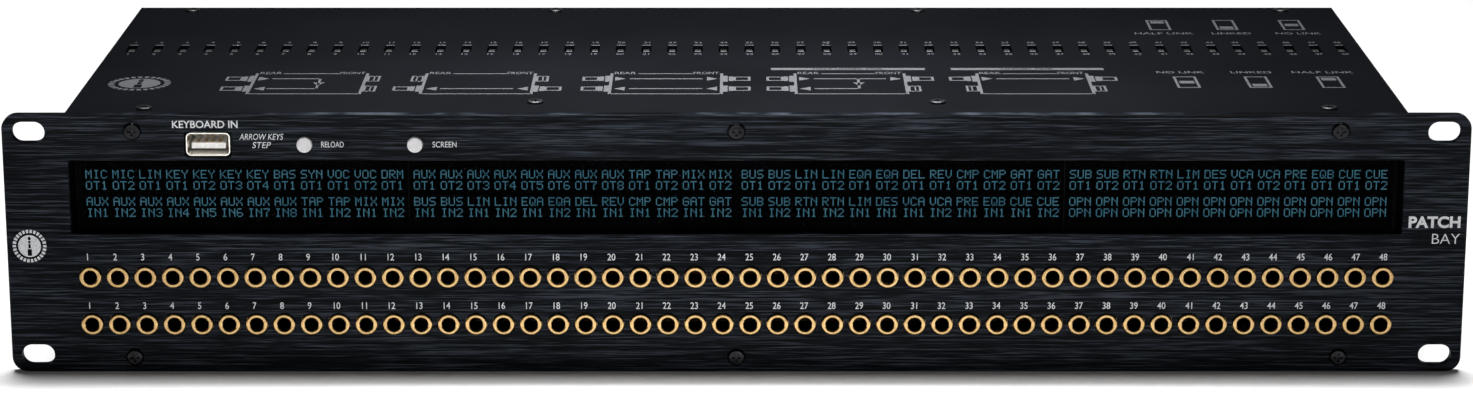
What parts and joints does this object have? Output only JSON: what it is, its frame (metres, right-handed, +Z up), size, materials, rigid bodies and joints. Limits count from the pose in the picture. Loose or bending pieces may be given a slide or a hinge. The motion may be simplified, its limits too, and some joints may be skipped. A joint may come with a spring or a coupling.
{
  "type": "audio patch bay",
  "caption": "2U rack patch bay: brushed black front with two rows of miniature jacks under a long dot-matrix display, normalling slide switches in the top cover, multi-way sockets behind.",
  "frame": {"origin": "bottom centre of the whole unit: middle of its width and depth, at the panel's lower edge", "axes": "+X to the right seen from the front, +Y towards the rear, +Z up; the front panel faces -Y"},
  "size_m": [0.4826, 0.1822, 0.0882],
  "materials": {
    "panel_black": "brushed, black anodised",
    "powder_black": "fine powder coat, matt",
    "plated_steel": "zinc or nickel plated",
    "screw_black": "black oxide, satin",
    "smoked_pane": "smoked, polished",
    "display_glass": "black glass",
    "circuit_board": "green solder mask",
    "gold_plate": "gold plated, polished",
    "contact_bronze": "spring bronze",
    "black_plastic": "moulded",
    "lever_black": "moulded",
    "white_plastic": "moulded",
    "button_grey": "moulded, satin",
    "grey_plastic": "ribbon insulation",
    "panel_ink": "screen print, light grey",
    "cover_ink": "screen print, dark grey",
    "display_dots": "lit, blue-green"
  },
  "bodies": {
    "case": {"front_panel": "panel_black", "chassis_tray": "powder_black", "front_rail": "plated_steel", "rear_panel": "powder_black", "top_cover": "powder_black", "front_panel_screws": "screw_black", "cover_screws": "screw_black", "base_screws": "screw_black", "display_window": "smoked_pane", "display_modules": "display_glass", "display_boards": "circuit_board", "display_bracket": "powder_black", "jack_bushings_upper": "gold_plate", "jack_bushings_lower": "gold_plate", "jack_housings_upper": "black_plastic", "jack_housings_lower": "black_plastic", "jack_tip_springs": "contact_bronze", "jack_ring_springs": "contact_bronze", "jack_board": "circuit_board", "switch_board": "circuit_board", "switch_bodies": "black_plastic", "board_standoffs": "plated_steel", "ribbon_cables": "grey_plastic", "dsub_shells": "plated_steel", "dsub_inserts": "black_plastic", "dsub_jackscrews": "plated_steel", "rear_board": "circuit_board", "dc_inlet": "black_plastic", "dc_pin": "plated_steel", "control_board": "circuit_board", "usb_shell": "plated_steel", "usb_tongue": "white_plastic", "usb_contacts": "gold_plate", "tact_switches": "black_plastic"},
    "update_button": {"update_button": "button_grey"},
    "display_button": {"display_button": "button_grey"},
    "levers_01_02": {"switch_levers_01_02": "lever_black"},
    "levers_03_04": {"switch_levers_03_04": "lever_black"},
    "levers_05_06": {"switch_levers_05_06": "lever_black"},
    "levers_07_08": {"switch_levers_07_08": "lever_black"},
    "levers_09_10": {"switch_levers_09_10": "lever_black"},
    "levers_11_12": {"switch_levers_11_12": "lever_black"},
    "levers_13_14": {"switch_levers_13_14": "lever_black"},
    "levers_15_16": {"switch_levers_15_16": "lever_black"},
    "levers_17_18": {"switch_levers_17_18": "lever_black"},
    "levers_19_20": {"switch_levers_19_20": "lever_black"},
    "levers_21_22": {"switch_levers_21_22": "lever_black"},
    "levers_23_24": {"switch_levers_23_24": "lever_black"},
    "levers_25_26": {"switch_levers_25_26": "lever_black"},
    "levers_27_28": {"switch_levers_27_28": "lever_black"},
    "levers_29_30": {"switch_levers_29_30": "lever_black"},
    "levers_31_32": {"switch_levers_31_32": "lever_black"},
    "levers_33_34": {"switch_levers_33_34": "lever_black"},
    "levers_35_36": {"switch_levers_35_36": "lever_black"},
    "levers_37_38": {"switch_levers_37_38": "lever_black"},
    "levers_39_40": {"switch_levers_39_40": "lever_black"},
    "levers_41_42": {"switch_levers_41_42": "lever_black"},
    "levers_43_44": {"switch_levers_43_44": "lever_black"},
    "levers_45_46": {"switch_levers_45_46": "lever_black"},
    "levers_47_48": {"switch_levers_47_48": "lever_black"}
  },
  "joints": [
    {"name": "update_button_press", "type": "slide", "parent": "case", "child": "update_button", "axis": [0, 1, 0], "range_m": [0, 0.0008], "stiffness_N_per_m": 600, "springref_m": -0.0005},
    {"name": "display_button_press", "type": "slide", "parent": "case", "child": "display_button", "axis": [0, 1, 0], "range_m": [0, 0.0008], "stiffness_N_per_m": 600, "springref_m": -0.0005},
    {"name": "levers_01_02_slide", "type": "slide", "parent": "case", "child": "levers_01_02", "axis": [0, 1, 0], "range_m": [-0.0025, 0.0025]},
    {"name": "levers_03_04_slide", "type": "slide", "parent": "case", "child": "levers_03_04", "axis": [0, 1, 0], "range_m": [-0.0025, 0.0025]},
    {"name": "levers_05_06_slide", "type": "slide", "parent": "case", "child": "levers_05_06", "axis": [0, 1, 0], "range_m": [-0.0025, 0.0025]},
    {"name": "levers_07_08_slide", "type": "slide", "parent": "case", "child": "levers_07_08", "axis": [0, 1, 0], "range_m": [-0.0025, 0.0025]},
    {"name": "levers_09_10_slide", "type": "slide", "parent": "case", "child": "levers_09_10", "axis": [0, 1, 0], "range_m": [-0.0025, 0.0025]},
    {"name": "levers_11_12_slide", "type": "slide", "parent": "case", "child": "levers_11_12", "axis": [0, 1, 0], "range_m": [-0.0025, 0.0025]},
    {"name": "levers_13_14_slide", "type": "slide", "parent": "case", "child": "levers_13_14", "axis": [0, 1, 0], "range_m": [-0.0025, 0.0025]},
    {"name": "levers_15_16_slide", "type": "slide", "parent": "case", "child": "levers_15_16", "axis": [0, 1, 0], "range_m": [-0.0025, 0.0025]},
    {"name": "levers_17_18_slide", "type": "slide", "parent": "case", "child": "levers_17_18", "axis": [0, 1, 0], "range_m": [-0.0025, 0.0025]},
    {"name": "levers_19_20_slide", "type": "slide", "parent": "case", "child": "levers_19_20", "axis": [0, 1, 0], "range_m": [-0.0025, 0.0025]},
    {"name": "levers_21_22_slide", "type": "slide", "parent": "case", "child": "levers_21_22", "axis": [0, 1, 0], "range_m": [-0.0025, 0.0025]},
    {"name": "levers_23_24_slide", "type": "slide", "parent": "case", "child": "levers_23_24", "axis": [0, 1, 0], "range_m": [-0.0025, 0.0025]},
    {"name": "levers_25_26_slide", "type": "slide", "parent": "case", "child": "levers_25_26", "axis": [0, 1, 0], "range_m": [-0.0025, 0.0025]},
    {"name": "levers_27_28_slide", "type": "slide", "parent": "case", "child": "levers_27_28", "axis": [0, 1, 0], "range_m": [-0.0025, 0.0025]},
    {"name": "levers_29_30_slide", "type": "slide", "parent": "case", "child": "levers_29_30", "axis": [0, 1, 0], "range_m": [-0.0025, 0.0025]},
    {"name": "levers_31_32_slide", "type": "slide", "parent": "case", "child": "levers_31_32", "axis": [0, 1, 0], "range_m": [-0.0025, 0.0025]},
    {"name": "levers_33_34_slide", "type": "slide", "parent": "case", "child": "levers_33_34", "axis": [0, 1, 0], "range_m": [-0.0025, 0.0025]},
    {"name": "levers_35_36_slide", "type": "slide", "parent": "case", "child": "levers_35_36", "axis": [0, 1, 0], "range_m": [-0.0025, 0.0025]},
    {"name": "levers_37_38_slide", "type": "slide", "parent": "case", "child": "levers_37_38", "axis": [0, 1, 0], "range_m": [-0.0025, 0.0025]},
    {"name": "levers_39_40_slide", "type": "slide", "parent": "case", "child": "levers_39_40", "axis": [0, 1, 0], "range_m": [-0.0025, 0.0025]},
    {"name": "levers_41_42_slide", "type": "slide", "parent": "case", "child": "levers_41_42", "axis": [0, 1, 0], "range_m": [-0.0025, 0.0025]},
    {"name": "levers_43_44_slide", "type": "slide", "parent": "case", "child": "levers_43_44", "axis": [0, 1, 0], "range_m": [-0.0025, 0.0025]},
    {"name": "levers_45_46_slide", "type": "slide", "parent": "case", "child": "levers_45_46", "axis": [0, 1, 0], "range_m": [-0.0025, 0.0025]},
    {"name": "levers_47_48_slide", "type": "slide", "parent": "case", "child": "levers_47_48", "axis": [0, 1, 0], "range_m": [-0.0025, 0.0025]}
  ]
}
